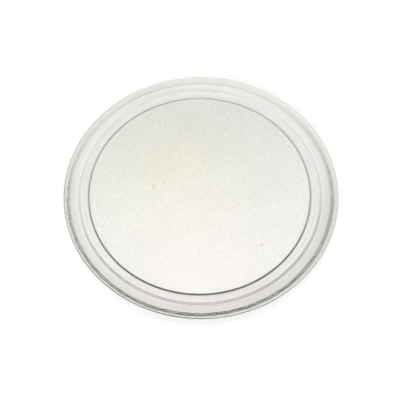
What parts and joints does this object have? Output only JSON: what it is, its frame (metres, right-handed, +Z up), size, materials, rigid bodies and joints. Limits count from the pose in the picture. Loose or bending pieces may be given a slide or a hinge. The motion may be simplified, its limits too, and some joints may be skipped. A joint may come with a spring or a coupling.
{
  "type": "microwave turntable plate",
  "caption": "Round clear glass turntable plate with a flat stippled floor on a bevelled foot disc, a gentle ledge, a sloped wall and a rounded lip; it carries food as it turns in an oven.",
  "frame": {"origin": "centre of the foot disc's underside, where the plate rests", "axes": "+Z up along the plate's axis of revolution, out of the dish"},
  "size_m": [0.245, 0.245, 0.0128],
  "materials": {
    "clear_glass": "clear pressed soda-lime glass, smooth on top and stippled underneath, faintly green in its thick edges"
  },
  "bodies": {
    "root": {"turntable_plate": "clear_glass"}
  },
  "joints": []
}
